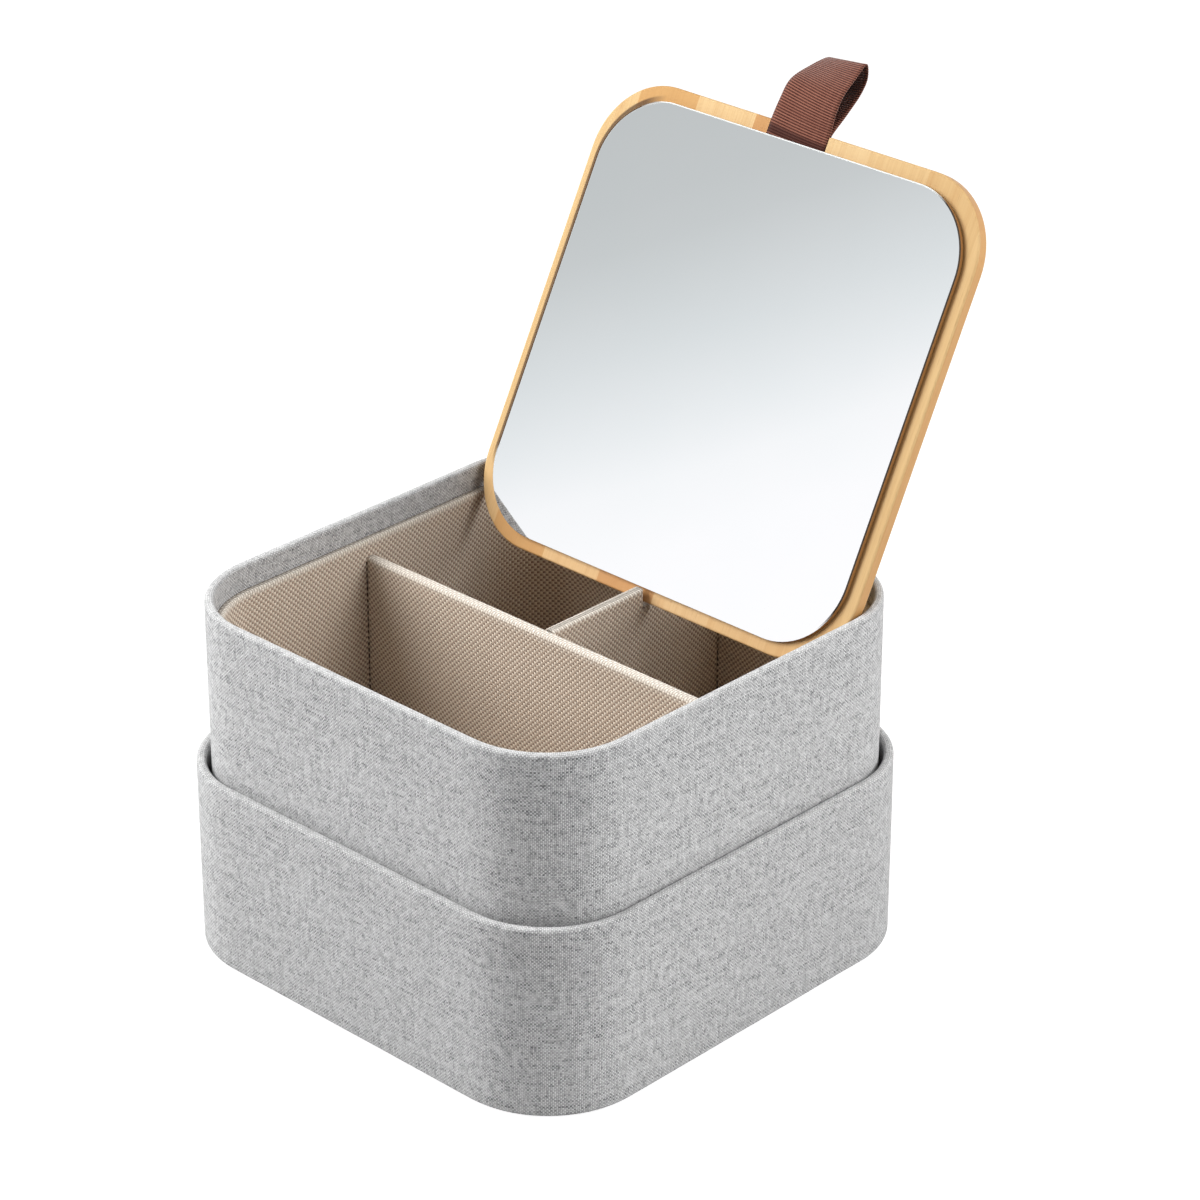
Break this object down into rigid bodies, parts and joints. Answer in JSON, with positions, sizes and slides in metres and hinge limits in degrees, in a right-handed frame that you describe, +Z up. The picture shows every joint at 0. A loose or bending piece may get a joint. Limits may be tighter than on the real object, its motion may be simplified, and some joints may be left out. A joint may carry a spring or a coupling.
{
  "type": "vanity organizer",
  "caption": "Square cloth-covered vanity organizer: nesting trays with rounded corners, a divided lined upper tray and a bamboo lid with a mirror that stands in a divider notch.",
  "frame": {"origin": "middle of the lower tray's underside, on the surface that it stands on", "axes": "+Z up, +X to the right seen from the front, -Y to the front, where the mirror faces"},
  "size_m": [0.18, 0.2392, 0.2677],
  "materials": {
    "greyboard": "matte",
    "grey_cloth": "matte",
    "base_sheet": "matte",
    "lining_cloth": "matte",
    "bamboo": "satin",
    "adhesive": "matte",
    "mirror": "polished",
    "ribbon": "matte"
  },
  "bodies": {
    "lower_tier": {"lower_wall_board": "greyboard", "lower_base_board": "greyboard", "lower_cover_cloth": "grey_cloth", "lower_base_sheet": "base_sheet", "lower_liner_board": "greyboard", "lower_lining_cloth": "lining_cloth", "lower_floor_card": "greyboard", "lower_floor_lining": "lining_cloth"},
    "upper_tier": {"upper_wall_board": "greyboard", "upper_base_board": "greyboard", "upper_cover_cloth": "grey_cloth", "upper_base_sheet": "base_sheet", "upper_liner_board": "greyboard", "upper_lining_cloth": "lining_cloth", "upper_floor_card": "greyboard", "upper_floor_lining": "lining_cloth", "long_divider_board": "greyboard", "long_divider_cloth": "lining_cloth", "short_divider_board": "greyboard", "short_divider_cloth": "lining_cloth"},
    "lid": {"lid_panel": "bamboo", "mirror_bed": "adhesive", "mirror_glass": "mirror", "pull_tails": "ribbon"},
    "pull": {"pull_loop": "ribbon"}
  },
  "joints": [
    {"name": "tier_lift", "type": "slide", "parent": "lower_tier", "child": "upper_tier", "axis": [0, 0, 1], "range_m": [0, 0.1]},
    {"name": "lid_lift", "type": "slide", "parent": "upper_tier", "child": "lid", "axis": [0, 0.4695, 0.8829], "range_m": [0, 0.06]},
    {"name": "pull_flip", "type": "hinge", "parent": "lid", "child": "pull", "pos_m": [-0.0012, 0.121, 0.24787], "axis": [1, 0, 0], "range_deg": [-30, 65], "stiffness_Nm_per_rad": 0.002}
  ]
}
